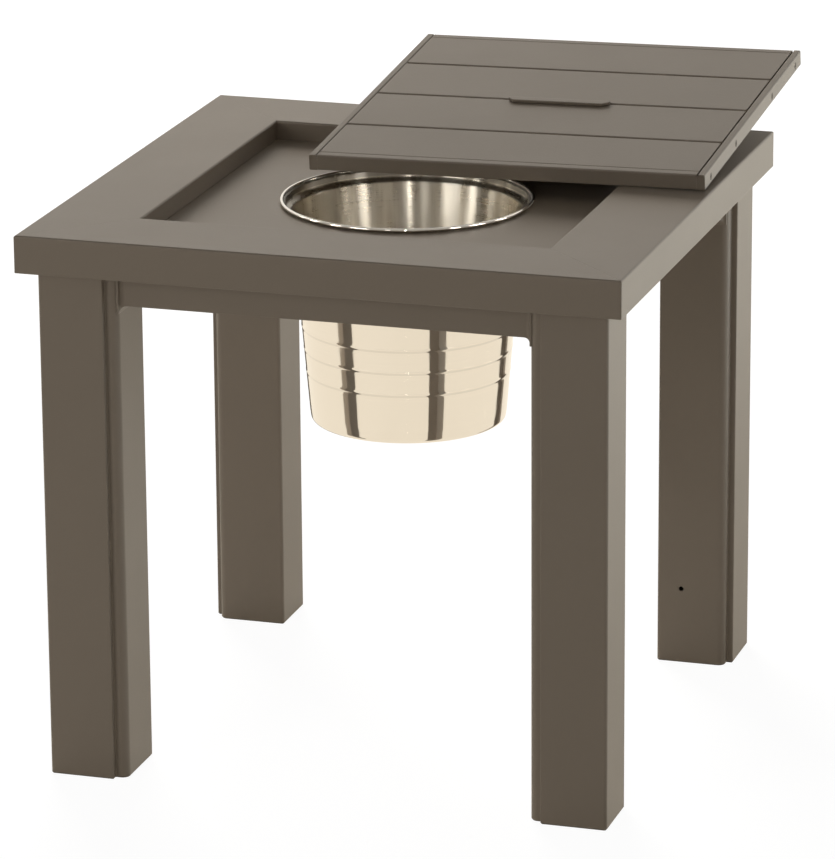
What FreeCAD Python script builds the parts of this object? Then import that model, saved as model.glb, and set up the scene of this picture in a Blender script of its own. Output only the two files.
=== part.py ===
import FreeCAD, Part
import math
import os

from FreeCAD import Placement, Rotation, Vector

# An outdoor side table with a round ice bucket hung in its recessed top and a slatted lid.
# Millimetres, +Z up, the front is -Y. The pieces are drawn round the middle of the table top, and then moved
# so that the origin is on the floor under the middle of the whole object, with the lid where it lies.

# Table, overall
TABLE_WIDTH = 610.0
TABLE_DEPTH = 610.0
TABLE_HEIGHT = 560.0

# Top frame: four mitred hollow rails
RAIL_WIDTH = 96.5
RAIL_HEIGHT = 38.0
RAIL_WALL = 2.5
RAIL_EDGE_RADIUS = 2.0

# Recess panel and the angle strips that carry it
RECESS_DEPTH = 20.0
PANEL_THICKNESS = 3.0
PANEL_CLEARANCE = 0.5
LEDGE_SHELF = 16.0
LEDGE_DROP = 13.0
LEDGE_THICKNESS = 2.5

# Legs: a hollow square whose two outer faces stop short of its other corners, which step back and are rounded
LEG_INSET = 17.0
LEG_NOTCH = 12.7
LEG_STEP = 6.3
LEG_WALL = 2.2
LEG_CORNER_RADIUS = 3.0
LEG_STEP_RADIUS = 1.0
LEG_ROUND_RADIUS = 8.0
VENT_RADIUS = 2.6
VENT_HEIGHT = 82.0
VENT_FROM_INNER_FACE = 26.0

# Aprons between the legs, flared at their ends and shaped there to the legs' rounded corners
APRON_HEIGHT = 33.5
APRON_THICKNESS = 25.0
APRON_WALL = 2.2
APRON_SETBACK = 7.5
APRON_CORNER_RADIUS = 7.0
APRON_FACE_FLARE = 5.0
APRON_FLARE_TIP = 0.6
APRON_JOINT_GAP = 0.3

# Foot glides
GLIDE_HEIGHT = 1.2
GLIDE_MARGIN = 1.0
GLIDE_PLUG_HEIGHT = 14.0
GLIDE_PLUG_WALL = 2.0
GLIDE_PLUG_CLEARANCE = 0.25

# Ice bucket: one sheet, rolled at the rim
BUCKET_SHEET = 1.0
RIM_RADIUS = 126.0
RIM_ROLL_RADIUS = 3.0
RIM_SEAT_GAP = 0.3
COLLAR_DEPTH = 9.5
SHOULDER_WIDTH = 6.5
SHOULDER_DROP = 3.5
SHOULDER_BEND = 2.0
BODY_HEIGHT = 216.0
BASE_RADIUS = 98.5
BASE_CORNER_RADIUS = 4.0
BASE_DISH_RADIUS = 78.0
BASE_DISH_DEPTH = 3.0
SWAGE_FIRST = 119.0
SWAGE_SPACING = 23.2
SWAGE_COUNT = 3
SWAGE_HEIGHT = 5.0
SWAGE_DEPTH = 0.6
HOLE_CLEARANCE = 0.8

# Lid: four hollow slats between two end bars, with a scored line along its front and back edges
LID_CLEARANCE = 1.0
LID_THICKNESS = 16.0
LID_GROOVE = 3.5
LID_TRIM_WIDTH = 8.5
LID_EDGE_RADIUS = 1.5
TRIM_REBATE_WIDTH = 1.2
TRIM_REBATE_DEPTH = 2.5
EDGE_LINE_INSET = 11.0
EDGE_LINE_WIDTH = 1.6
EDGE_LINE_DEPTH = 0.8
PLANK_COUNT = 4
PLANK_WALL = 1.8
PLANK_EDGE_RADIUS = 1.2
PORT_OFFSET = 26.0
PORT_RIB = 8.0
PORT_RADIUS = 2.0
PORT_DEPTH = 9.5
SCREW_HEAD_RADIUS = 3.8
SCREW_HEAD_HEIGHT = 2.2
SCREW_SHANK_RADIUS = 1.8
SCREW_REACH = 16.0
SCREW_CLEARANCE = 0.2

# Finger pull in the middle groove
PULL_LENGTH = 108.0
PULL_THICKNESS = 2.9
PULL_LIP = 11.0
PULL_LIP_GAP = 0.6
PULL_LIP_CHAMFER = 6.0
PULL_BEND = 1.0
RIVET_SPACING = 70.0
RIVET_RADIUS = 2.0
RIVET_HEAD_RADIUS = 3.6
RIVET_HEAD_HEIGHT = 1.2
RIVET_CLEARANCE = 0.15

# How the lid lies on the top: right and back of its recess, its front edge on the right rail
# and the foot of its pull on the back rail
LID_TILT = 4.87
LID_ROLL = -0.99
LID_RIGHT_MARGIN = 6.5
PULL_FROM_RAIL_MIDDLE = -12.0
LID_SEAT_GAP = 0.3

# Worked out from the sizes above
HALF_WIDTH = TABLE_WIDTH / 2
HALF_DEPTH = TABLE_DEPTH / 2
OPENING_HALF_WIDTH = HALF_WIDTH - RAIL_WIDTH
OPENING_HALF_DEPTH = HALF_DEPTH - RAIL_WIDTH
RAIL_BOTTOM = TABLE_HEIGHT - RAIL_HEIGHT
PANEL_TOP = TABLE_HEIGHT - RECESS_DEPTH
PANEL_BOTTOM = PANEL_TOP - PANEL_THICKNESS
LEG_TOTAL = RAIL_WIDTH - LEG_INSET
LEG_MAIN = LEG_TOTAL - LEG_NOTCH
APRON_FACE = LEG_STEP + APRON_SETBACK
COLLAR_RADIUS = RIM_RADIUS - RIM_ROLL_RADIUS + BUCKET_SHEET / 2
HOLE_RADIUS = COLLAR_RADIUS + HOLE_CLEARANCE
RIM_HEIGHT = PANEL_TOP + RIM_SEAT_GAP + RIM_ROLL_RADIUS
LID_WIDTH = 2 * (OPENING_HALF_WIDTH - LID_CLEARANCE)
LID_DEPTH = 2 * (OPENING_HALF_DEPTH - LID_CLEARANCE)
PLANK_WIDTH = (LID_DEPTH - (PLANK_COUNT - 1) * LID_GROOVE) / PLANK_COUNT
PLANK_PITCH = PLANK_WIDTH + LID_GROOVE
PLANK_HALF_LENGTH = LID_WIDTH / 2 - LID_TRIM_WIDTH
LEFT_RIGHT = {"left": -1, "right": 1}
FRONT_BACK = {"front": -1, "back": 1}


def rounded_wire(points, radii, closed=True):
    """Wire through points whose corners are rounded by the matching radii (0 keeps a corner sharp)."""
    count = len(points)
    entries, exits, middles = [], [], []
    for index, corner in enumerate(points):
        radius = radii[index]
        at_end = not closed and index in (0, count - 1)
        if radius == 0 or at_end:
            entries.append(corner)
            exits.append(corner)
            middles.append(None)
            continue
        to_last = (points[index - 1] - corner).normalize()
        to_next = (points[(index + 1) % count] - corner).normalize()
        half_angle = to_last.getAngle(to_next) / 2
        bisector = (to_last + to_next).normalize()
        reach = radius / math.tan(half_angle)
        entries.append(corner + to_last * reach)
        exits.append(corner + to_next * reach)
        middles.append(corner + bisector * (radius / math.sin(half_angle) - radius))
    edges = []
    for index in range(count):
        if middles[index] is not None:
            edges.append(Part.Arc(entries[index], middles[index], exits[index]).toShape())
        if index == count - 1 and not closed:
            continue
        following = entries[(index + 1) % count]
        if exits[index].distanceToPoint(following) > 1e-6:
            edges.append(Part.LineSegment(exits[index], following).toShape())
    return Part.Wire(edges)


def rounded_face(points, radii, holes=()):
    """Flat face inside a rounded outline, less the hole wires."""
    face = Part.Face(rounded_wire(points, radii))
    for hole in holes:
        face = face.cut(Part.Face(hole))
    return face


def box_between(low, high):
    """Box from its lowest to its highest corner."""
    size = high - low
    return Part.makeBox(size.x, size.y, size.z, low)


# Top frame


def rail_section(place):
    """Hollow rail section; place maps (distance from the outer face, height) to a point."""
    top, bottom, wall = TABLE_HEIGHT, RAIL_BOTTOM, RAIL_WALL
    outline = [place(0, bottom), place(RAIL_WIDTH, bottom), place(RAIL_WIDTH, top), place(0, top)]
    bore = [
        place(wall, bottom + wall),
        place(RAIL_WIDTH - wall, bottom + wall),
        place(RAIL_WIDTH - wall, top - wall),
        place(wall, top - wall),
    ]
    return rounded_face(outline, [RAIL_EDGE_RADIUS / 2, 0, RAIL_EDGE_RADIUS, RAIL_EDGE_RADIUS],
                        [rounded_wire(bore, [0] * 4)])


def mitre_prism(outer, inner):
    """Prism over a rail's mitred plan, from its outer and inner edge points at the rail's foot."""
    plan = Part.Face(Part.makePolygon([*outer, *reversed(inner), outer[0]]))
    return plan.extrude(Vector(0, 0, RAIL_HEIGHT))


def cross_rail(side):
    """Front (-1) or back (+1) rail, running left to right."""
    section = rail_section(lambda inward, height: Vector(-HALF_WIDTH, side * (HALF_DEPTH - inward), height))
    tube = section.extrude(Vector(TABLE_WIDTH, 0, 0))
    outer = [Vector(x * HALF_WIDTH, side * HALF_DEPTH, RAIL_BOTTOM) for x in (-1, 1)]
    inner = [Vector(x * OPENING_HALF_WIDTH, side * OPENING_HALF_DEPTH, RAIL_BOTTOM) for x in (-1, 1)]
    return tube.common(mitre_prism(outer, inner))


def side_rail(side):
    """Left (-1) or right (+1) rail, running front to back."""
    section = rail_section(lambda inward, height: Vector(side * (HALF_WIDTH - inward), -HALF_DEPTH, height))
    tube = section.extrude(Vector(0, TABLE_DEPTH, 0))
    outer = [Vector(side * HALF_WIDTH, y * HALF_DEPTH, RAIL_BOTTOM) for y in (-1, 1)]
    inner = [Vector(side * OPENING_HALF_WIDTH, y * OPENING_HALF_DEPTH, RAIL_BOTTOM) for y in (-1, 1)]
    return tube.common(mitre_prism(outer, inner))


# Recess panel and its ledges


def recess_panel():
    """Sheet in the recess with the round hole that the bucket's collar passes through."""
    reach_x = OPENING_HALF_WIDTH - PANEL_CLEARANCE
    reach_y = OPENING_HALF_DEPTH - PANEL_CLEARANCE
    sheet = box_between(Vector(-reach_x, -reach_y, PANEL_BOTTOM), Vector(reach_x, reach_y, PANEL_TOP))
    hole = Part.makeCylinder(HOLE_RADIUS, PANEL_THICKNESS, Vector(0, 0, PANEL_BOTTOM))
    return sheet.cut(hole)


def ledge_section(place):
    """Angle section; place maps (distance from the rail's inner face, height) to a point."""
    top = PANEL_BOTTOM
    thick = LEDGE_THICKNESS
    outline = [
        place(0, top - LEDGE_DROP),
        place(thick, top - LEDGE_DROP),
        place(thick, top - thick),
        place(LEDGE_SHELF, top - thick),
        place(LEDGE_SHELF, top),
        place(0, top),
    ]
    return rounded_face(outline, [0, 0, thick / 2, 0, 0, 0])


def cross_ledge(side):
    """Ledge on the front (-1) or back (+1) rail, over the whole width of the opening."""
    section = ledge_section(
        lambda inward, height: Vector(-OPENING_HALF_WIDTH, side * (OPENING_HALF_DEPTH - inward), height))
    return section.extrude(Vector(2 * OPENING_HALF_WIDTH, 0, 0))


def side_ledge(side):
    """Ledge on the left (-1) or right (+1) rail, between the two cross ledges."""
    reach = OPENING_HALF_DEPTH - LEDGE_SHELF
    section = ledge_section(
        lambda inward, height: Vector(side * (OPENING_HALF_WIDTH - inward), -reach, height))
    return section.extrude(Vector(0, 2 * reach, 0))


# Legs, glides and aprons


def stepped_wire(inset, base, x_side, y_side):
    """The leg's stepped outline at the height base, drawn in from its faces by inset."""
    near, main = inset, LEG_MAIN - inset
    step, far = LEG_STEP + inset, LEG_TOTAL - inset
    plan = [(near, near), (main, near), (main, step), (far, step),
            (far, far), (step, far), (step, main), (near, main)]
    corner = max(LEG_CORNER_RADIUS - inset, 0)
    edge = max(LEG_STEP_RADIUS - inset, 0)
    bend = max(LEG_ROUND_RADIUS - inset, 0)
    radii = [corner, edge, LEG_STEP_RADIUS, bend, corner, bend, LEG_STEP_RADIUS, edge]
    corner_x = HALF_WIDTH - LEG_INSET
    corner_y = HALF_DEPTH - LEG_INSET
    points = [Vector(x_side * (corner_x - u), y_side * (corner_y - v), base) for u, v in plan]
    return rounded_wire(points, radii)


def leg(x_side, y_side):
    """One leg, from the glide up to the underside of the rails."""
    outside = Part.Face(stepped_wire(0, GLIDE_HEIGHT, x_side, y_side))
    bore = Part.Face(stepped_wire(LEG_WALL, GLIDE_HEIGHT, x_side, y_side))
    return outside.cut(bore).extrude(Vector(0, 0, RAIL_BOTTOM - GLIDE_HEIGHT))


def vent_drill():
    """Drill for the vent in the back right leg's inner front wall, a wall's thickness longer each way."""
    inner_face = Vector(OPENING_HALF_WIDTH + VENT_FROM_INNER_FACE, OPENING_HALF_DEPTH - LEG_WALL, VENT_HEIGHT)
    return Part.makeCylinder(VENT_RADIUS, 3 * LEG_WALL, inner_face, Vector(0, 1, 0))


def foot_glide(x_side, y_side):
    """Cap under a leg: a thin sole and a hollow plug that fits the leg's bore."""
    sole = Part.Face(stepped_wire(GLIDE_MARGIN, 0, x_side, y_side)).extrude(Vector(0, 0, GLIDE_HEIGHT))
    plug_inset = LEG_WALL + GLIDE_PLUG_CLEARANCE
    plug = Part.Face(stepped_wire(plug_inset, GLIDE_HEIGHT, x_side, y_side))
    core = Part.Face(stepped_wire(plug_inset + GLIDE_PLUG_WALL, GLIDE_HEIGHT, x_side, y_side))
    return sole.fuse(plug.cut(core).extrude(Vector(0, 0, GLIDE_PLUG_HEIGHT))).removeSplitter()


def apron_side(half_length, place):
    """An apron as seen from its front, flared down at each leg, and on past the leg's rounded corner."""
    top, bottom, flare = RAIL_BOTTOM, RAIL_BOTTOM - APRON_HEIGHT, APRON_CORNER_RADIUS
    reach = half_length + LEG_ROUND_RADIUS
    start = half_length - APRON_FLARE_TIP
    tip = bottom - flare
    corners = [(-reach, top), (-reach, tip), (-start, tip), (-start, bottom),
               (start, bottom), (start, tip), (reach, tip), (reach, top)]
    points = [place(along, APRON_FACE - APRON_FACE_FLARE, height) for along, height in corners]
    return Part.Face(rounded_wire(points, [0, 0, 0, flare, flare, 0, 0, 0]))


def apron_front_cut(half_length, place):
    """What lies in front of an apron's face, between the flares that lead out to the legs."""
    front, face = APRON_FACE - 2 * APRON_FACE_FLARE, APRON_FACE
    start = half_length - APRON_FLARE_TIP
    corners = [(-start, front), (-start, face), (start, face), (start, front)]
    points = [place(along, inward, TABLE_HEIGHT) for along, inward in corners]
    plan = Part.Face(rounded_wire(points, [0, APRON_FACE_FLARE, APRON_FACE_FLARE, 0]))
    return plan.extrude(Vector(0, 0, -TABLE_HEIGHT))


def apron_end_cut(half_length, place, side):
    """The room that a leg takes at one end of an apron: its rounded corner and its flat inner face."""
    bend = LEG_STEP + LEG_ROUND_RADIUS
    middle = place(side * (half_length + LEG_ROUND_RADIUS), bend, 0)
    corner = Part.makeCylinder(LEG_ROUND_RADIUS + APRON_JOINT_GAP, TABLE_HEIGHT, middle)
    near, far = side * half_length, side * (half_length + LEG_TOTAL)
    plan = [place(near, bend, 0), place(far, bend, 0), place(far, LEG_TOTAL, 0), place(near, LEG_TOTAL, 0)]
    flat = Part.Face(Part.makePolygon([*plan, plan[0]])).extrude(Vector(0, 0, TABLE_HEIGHT))
    return corner.fuse(flat)


def apron(half_length, place):
    """Hollow apron; place maps (distance along, depth behind the legs' outer faces, height) to a point."""
    inward = place(0, 1, 0) - place(0, 0, 0)
    bar = apron_side(half_length, place).extrude(inward * (APRON_FACE_FLARE + APRON_THICKNESS))
    low = RAIL_BOTTOM - APRON_HEIGHT + APRON_WALL
    high = RAIL_BOTTOM - APRON_WALL
    corners = [(-half_length, low), (half_length, low), (half_length, high), (-half_length, high)]
    bore_points = [place(along, APRON_FACE + APRON_WALL, height) for along, height in corners]
    bore = Part.Face(rounded_wire(bore_points, [0] * 4)).extrude(inward * (APRON_THICKNESS - 2 * APRON_WALL))
    ends = [apron_end_cut(half_length, place, side) for side in (-1, 1)]
    return bar.cut([apron_front_cut(half_length, place), bore, *ends]).removeSplitter()


def cross_apron(side):
    """Apron under the front (-1) or back (+1) rail."""
    outer = HALF_DEPTH - LEG_INSET

    def place(along, inward, height):
        return Vector(along, side * (outer - inward), height)

    return apron(OPENING_HALF_WIDTH, place)


def side_apron(side):
    """Apron under the left (-1) or right (+1) rail."""
    outer = HALF_WIDTH - LEG_INSET

    def place(along, inward, height):
        return Vector(side * (outer - inward), along, height)

    return apron(OPENING_HALF_DEPTH, place)


# Bucket


def bucket_outline():
    """Outside line of the bucket's sheet from the middle of its base to its rolled rim, with bend radii."""
    shoulder_top = RIM_HEIGHT - COLLAR_DEPTH
    body_top = shoulder_top - SHOULDER_DROP
    body_radius = COLLAR_RADIUS - SHOULDER_WIDTH
    base = body_top - BODY_HEIGHT
    taper = (body_radius - BASE_RADIUS) / BODY_HEIGHT

    def wall(above_base):
        return BASE_RADIUS + taper * above_base

    points = [
        (0, base + BASE_DISH_DEPTH),
        (BASE_DISH_RADIUS - BASE_DISH_DEPTH, base + BASE_DISH_DEPTH),
        (BASE_DISH_RADIUS, base),
        (BASE_RADIUS, base),
    ]
    radii = [0, 0, 0, BASE_CORNER_RADIUS]
    for index in reversed(range(SWAGE_COUNT)):
        middle = BODY_HEIGHT - SWAGE_FIRST - index * SWAGE_SPACING
        for offset, proud in ((-SWAGE_HEIGHT / 2, 0), (0, SWAGE_DEPTH), (SWAGE_HEIGHT / 2, 0)):
            points.append((wall(middle + offset) + proud, base + middle + offset))
            radii.append(0)
    points += [(body_radius, body_top), (COLLAR_RADIUS, shoulder_top), (COLLAR_RADIUS, RIM_HEIGHT)]
    radii += [SHOULDER_BEND, SHOULDER_BEND, 0]
    return [Vector(radius, 0, height) for radius, height in points], radii


def ice_bucket():
    """Bucket: the sheet's line thickened inwards and turned about its axis, with a rolled rim."""
    points, radii = bucket_outline()
    line = rounded_wire(points, radii, closed=False)
    sheet = line.makeOffset2D(BUCKET_SHEET, join=2, fill=True, openResult=True)
    shell = sheet.revolve(Vector(0, 0, 0), Vector(0, 0, 1), 360)
    rim = Part.makeTorus(RIM_RADIUS, RIM_ROLL_RADIUS, Vector(0, 0, RIM_HEIGHT), Vector(0, 0, 1))
    return shell.fuse(rim).removeSplitter()


# Lid, in its own frame: origin at the middle of its top face, planks running left to right


def plank_middle(index):
    """Depth of a plank's middle line in the lid's frame, counted from the front."""
    return (index - (PLANK_COUNT - 1) / 2) * PLANK_PITCH


def lid_plank(index):
    """Hollow slat with two ribs, each with a screw port along its whole length; the outer ones are scored."""
    middle = plank_middle(index)
    half = PLANK_WIDTH / 2
    start = -PLANK_HALF_LENGTH

    def point(across, height):
        return Vector(start, middle + across, height)

    def cell(low, high):
        corners = [(low, PLANK_WALL - LID_THICKNESS), (high, PLANK_WALL - LID_THICKNESS),
                   (high, -PLANK_WALL), (low, -PLANK_WALL)]
        return rounded_wire([point(across, height) for across, height in corners], [0] * 4)

    outer_side = {0: -1, PLANK_COUNT - 1: 1}.get(index, 0)
    front_radius = LID_EDGE_RADIUS if outer_side < 0 else PLANK_EDGE_RADIUS
    back_radius = LID_EDGE_RADIUS if outer_side > 0 else PLANK_EDGE_RADIUS
    outline = [point(-half, -LID_THICKNESS), point(half, -LID_THICKNESS), point(half, 0), point(-half, 0)]
    rib = PORT_RIB / 2
    holes = [
        cell(-half + PLANK_WALL, -PORT_OFFSET - rib),
        cell(-PORT_OFFSET + rib, PORT_OFFSET - rib),
        cell(PORT_OFFSET + rib, half - PLANK_WALL),
    ]
    for side in (-1, 1):
        port = Part.makeCircle(PORT_RADIUS, point(side * PORT_OFFSET, -PORT_DEPTH), Vector(1, 0, 0))
        holes.append(Part.Wire(port))
    if outer_side:
        line = outer_side * (half - EDGE_LINE_INSET)
        score = [(line - EDGE_LINE_WIDTH / 2, 0), (line, -EDGE_LINE_DEPTH), (line + EDGE_LINE_WIDTH / 2, 0)]
        holes.append(rounded_wire([point(across, height) for across, height in score], [0] * 3))
    section = rounded_face(outline, [PLANK_EDGE_RADIUS, PLANK_EDGE_RADIUS, back_radius, front_radius], holes)
    slat = section.extrude(Vector(2 * PLANK_HALF_LENGTH, 0, 0))
    return slat.cut(rivet_drills())


def screw_places():
    """Depth and side of each end screw: the port of each plank that is further from the lid's middle."""
    for index in range(PLANK_COUNT):
        middle = plank_middle(index)
        outward = 1 if middle > 0 else -1
        for side in (-1, 1):
            yield middle + outward * PORT_OFFSET, side


def screw_form(gap):
    """Countersunk screw along +X with its head's face at the origin; gap enlarges it for its hole."""
    head = SCREW_HEAD_RADIUS + gap
    shank = SCREW_SHANK_RADIUS + gap
    cone_end = SCREW_HEAD_HEIGHT + gap
    reach = LID_TRIM_WIDTH + SCREW_REACH
    profile = [(0, 0), (0, head), (cone_end, shank), (reach, shank), (reach, 0)]
    points = [Vector(along, radius, 0) for along, radius in profile]
    face = Part.Face(Part.makePolygon([*points, points[0]]))
    return face.revolve(Vector(0, 0, 0), Vector(1, 0, 0), 360)


def screws(gap):
    """All the end screws, pointing inwards from the trims' outer faces."""
    forms = []
    for depth, side in screw_places():
        turn = Rotation(Vector(0, 0, 1), 0 if side < 0 else 180)
        form = screw_form(gap)
        form.Placement = Placement(Vector(side * LID_WIDTH / 2, depth, -PORT_DEPTH), turn)
        forms.append(form)
    return Part.makeCompound(forms)


def lid_trim(side):
    """End bar of the lid, left (-1) or right (+1), countersunk for its screws and rebated by the planks."""
    half_depth = LID_DEPTH / 2

    def point(inward, height):
        return Vector(side * (LID_WIDTH / 2 - inward), -half_depth, height)

    step = LID_TRIM_WIDTH - TRIM_REBATE_WIDTH
    outline = [(0, -LID_THICKNESS), (LID_TRIM_WIDTH, -LID_THICKNESS), (LID_TRIM_WIDTH, -TRIM_REBATE_DEPTH),
               (step, -TRIM_REBATE_DEPTH), (step, 0), (0, 0)]
    radii = [PLANK_EDGE_RADIUS, 0, 0, 0, PLANK_EDGE_RADIUS, LID_EDGE_RADIUS]
    section = rounded_face([point(inward, height) for inward, height in outline], radii)
    bar = section.extrude(Vector(0, LID_DEPTH, 0))
    return bar.cut(screws(SCREW_CLEARANCE))


def pull_foot():
    """Depth of the pull's lower edge below the lid's top, where it stands on the back rail."""
    place = lid_placement()
    low_end = place.multVec(Vector(-PULL_LENGTH / 2, -PULL_THICKNESS / 2, 0))
    down = place.Rotation.multVec(Vector(0, 0, -1))
    return (low_end.z - TABLE_HEIGHT - LID_SEAT_GAP) / -down.z


def lid_pull():
    """Angle-shaped pull: a lip over the plank in front, and a leg down through the middle groove."""
    half = PULL_THICKNESS / 2
    lip_bottom = PULL_LIP_GAP
    lip_top = lip_bottom + PULL_THICKNESS
    foot = -pull_foot()
    section = [(-PULL_LIP, lip_bottom), (-half, lip_bottom), (-half, foot), (half, foot), (half, lip_top),
               (-PULL_LIP, lip_top)]
    points = [Vector(-PULL_LENGTH / 2, across, height) for across, height in section]
    bend = PULL_BEND
    face = rounded_face(points, [0, bend, 0, 0, bend + PULL_THICKNESS, 0])
    angle = face.extrude(Vector(PULL_LENGTH, 0, 0))
    for side in (-1, 1):
        end = side * PULL_LENGTH / 2
        slope_start = end - side * PULL_LIP_CHAMFER
        corner = [(end, -PULL_LIP), (slope_start, -PULL_LIP), (end, PULL_LIP_CHAMFER - PULL_LIP)]
        plan = [Vector(along, across, 0) for along, across in corner]
        angle = angle.cut(Part.Face(Part.makePolygon([*plan, plan[0]])).extrude(Vector(0, 0, lip_top + bend)))
    return angle.cut(rivet_drills())


def rivet_row(radius, length):
    """Cylinders across the middle groove at the rivets' places."""
    pins = []
    for side in (-1, 1):
        start = Vector(side * RIVET_SPACING / 2, -length / 2, -PORT_DEPTH)
        pins.append(Part.makeCylinder(radius, length, start, Vector(0, 1, 0)))
    return pins


def rivet_grip():
    """Length held between the rivet heads: the groove and one plank wall on each side of it."""
    return LID_GROOVE + 2 * PLANK_WALL


def rivet_drills():
    """Drills for the rivets' shanks through the walls beside the middle groove and the pull's leg."""
    return Part.makeCompound(rivet_row(RIVET_RADIUS + RIVET_CLEARANCE, rivet_grip() + RIVET_HEAD_HEIGHT))


def lid_pull_rivets():
    """Two rivets, each with a head inside the hollow plank on either side of the middle groove."""
    rivets = []
    grip = rivet_grip()
    for shank in rivet_row(RIVET_RADIUS, grip):
        foot = shank.BoundBox.Center
        for side in (-1, 1):
            seat = Vector(foot.x, side * grip / 2, foot.z)
            head = Part.makeCone(RIVET_HEAD_RADIUS, RIVET_RADIUS, RIVET_HEAD_HEIGHT, seat, Vector(0, side, 0))
            shank = shank.fuse(head)
        rivets.append(shank.removeSplitter())
    return Part.makeCompound(rivets)


def lid_placement():
    """Where the lid lies: its front edge touches the right rail's inner top edge, and its back is raised."""
    turn = Rotation(Vector(1, 0, 0), LID_TILT).multiply(Rotation(Vector(0, 1, 0), LID_ROLL))
    centre_x = HALF_WIDTH - LID_RIGHT_MARGIN - LID_WIDTH / 2
    centre_y = HALF_DEPTH - RAIL_WIDTH / 2 + PULL_FROM_RAIL_MIDDLE
    along = turn.multVec(Vector(1, 0, 0))
    front_edge = turn.multVec(Vector(0, -LID_DEPTH / 2, -LID_THICKNESS))
    reach = (OPENING_HALF_WIDTH - centre_x - front_edge.x) / along.x
    contact_drop = (front_edge + along * reach).z
    return Placement(Vector(centre_x, centre_y, TABLE_HEIGHT + LID_SEAT_GAP - contact_drop), turn)


def moved(shape):
    """Copy of a lid piece at the lid's placement."""
    copy = shape.copy()
    copy.Placement = lid_placement().multiply(copy.Placement)
    return copy


# All the nodes


def table_nodes():
    """Pieces of the table itself."""
    nodes = {"recess_panel": recess_panel()}
    for name, side in FRONT_BACK.items():
        nodes["top_rail_" + name] = cross_rail(side)
        nodes["panel_ledge_" + name] = cross_ledge(side)
        nodes["apron_" + name] = cross_apron(side)
    for name, side in LEFT_RIGHT.items():
        nodes["top_rail_" + name] = side_rail(side)
        nodes["panel_ledge_" + name] = side_ledge(side)
        nodes["apron_" + name] = side_apron(side)
    for depth_name, y_side in FRONT_BACK.items():
        for width_name, x_side in LEFT_RIGHT.items():
            corner = depth_name + "_" + width_name
            nodes["leg_" + corner] = leg(x_side, y_side)
            nodes["foot_glide_" + corner] = foot_glide(x_side, y_side)
    nodes["leg_back_right"] = nodes["leg_back_right"].cut(vent_drill())
    return nodes


def lid_nodes():
    """Pieces of the lid, where it lies."""
    nodes = {"lid_plank_%d" % (index + 1): lid_plank(index) for index in range(PLANK_COUNT)}
    for name, side in LEFT_RIGHT.items():
        nodes["lid_trim_" + name] = lid_trim(side)
    nodes["lid_trim_screws"] = screws(0)
    nodes["lid_pull"] = lid_pull()
    nodes["lid_pull_rivets"] = lid_pull_rivets()
    return {name: moved(shape) for name, shape in nodes.items()}


def main():
    """Builds every node and writes one file for each."""
    os.makedirs("parts", exist_ok=True)
    nodes = {**table_nodes(), "ice_bucket": ice_bucket(), **lid_nodes()}
    whole = Part.makeCompound(list(nodes.values())).BoundBox
    for name, shape in nodes.items():
        shape.translate(Vector(-whole.Center.x, -whole.Center.y, 0))
        shape.exportStep("parts/%s.step" % name)
        facts = (name, len(shape.Solids), shape.Volume, shape.isValid())
        print("%-24s solids %d, volume %.0f, valid %s" % facts)


main()
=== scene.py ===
"""Looks of an outdoor side table with an ice bucket hung in its top and a slatted lid set aside on it.

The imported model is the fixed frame. Its coated pieces are dressed where they stand, and the bucket and the
lid's screws are turned again as finer pieces. Metres, +Z up, the front is -Y.
"""

import logging
import math
from dataclasses import dataclass
from enum import Enum
from types import MappingProxyType
from typing import Any, Iterable, Mapping, Sequence, Union

import bmesh
import bpy
from mathutils import Matrix, Vector


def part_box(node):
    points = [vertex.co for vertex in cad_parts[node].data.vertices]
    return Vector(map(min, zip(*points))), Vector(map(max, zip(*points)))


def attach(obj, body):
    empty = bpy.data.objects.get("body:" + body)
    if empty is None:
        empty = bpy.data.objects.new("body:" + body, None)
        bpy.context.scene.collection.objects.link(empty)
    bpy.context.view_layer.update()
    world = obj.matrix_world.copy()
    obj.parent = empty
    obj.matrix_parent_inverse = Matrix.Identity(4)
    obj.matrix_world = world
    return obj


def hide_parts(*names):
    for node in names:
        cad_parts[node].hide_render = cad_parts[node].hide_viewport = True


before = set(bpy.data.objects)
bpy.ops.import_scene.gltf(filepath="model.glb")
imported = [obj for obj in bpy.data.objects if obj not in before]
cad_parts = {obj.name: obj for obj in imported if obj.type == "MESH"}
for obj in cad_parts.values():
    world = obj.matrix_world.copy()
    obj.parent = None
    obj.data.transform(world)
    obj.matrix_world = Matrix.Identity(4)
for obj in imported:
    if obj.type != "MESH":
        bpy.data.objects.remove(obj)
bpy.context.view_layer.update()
LOG = logging.getLogger("side_table")

Colour = tuple[float, float, float]
Point = tuple[float, float]
MERGE_DISTANCE = 1e-6
FLAT_WITHIN = 1e-5


class Body(Enum):
    """The bodies that new pieces ride on."""

    BUCKET = "bucket"
    LID = "lid"


class Slot(Enum):
    """The record's material slots of new pieces."""

    BUCKET = "bucket_steel"
    SCREW = "screw_steel"


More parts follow.
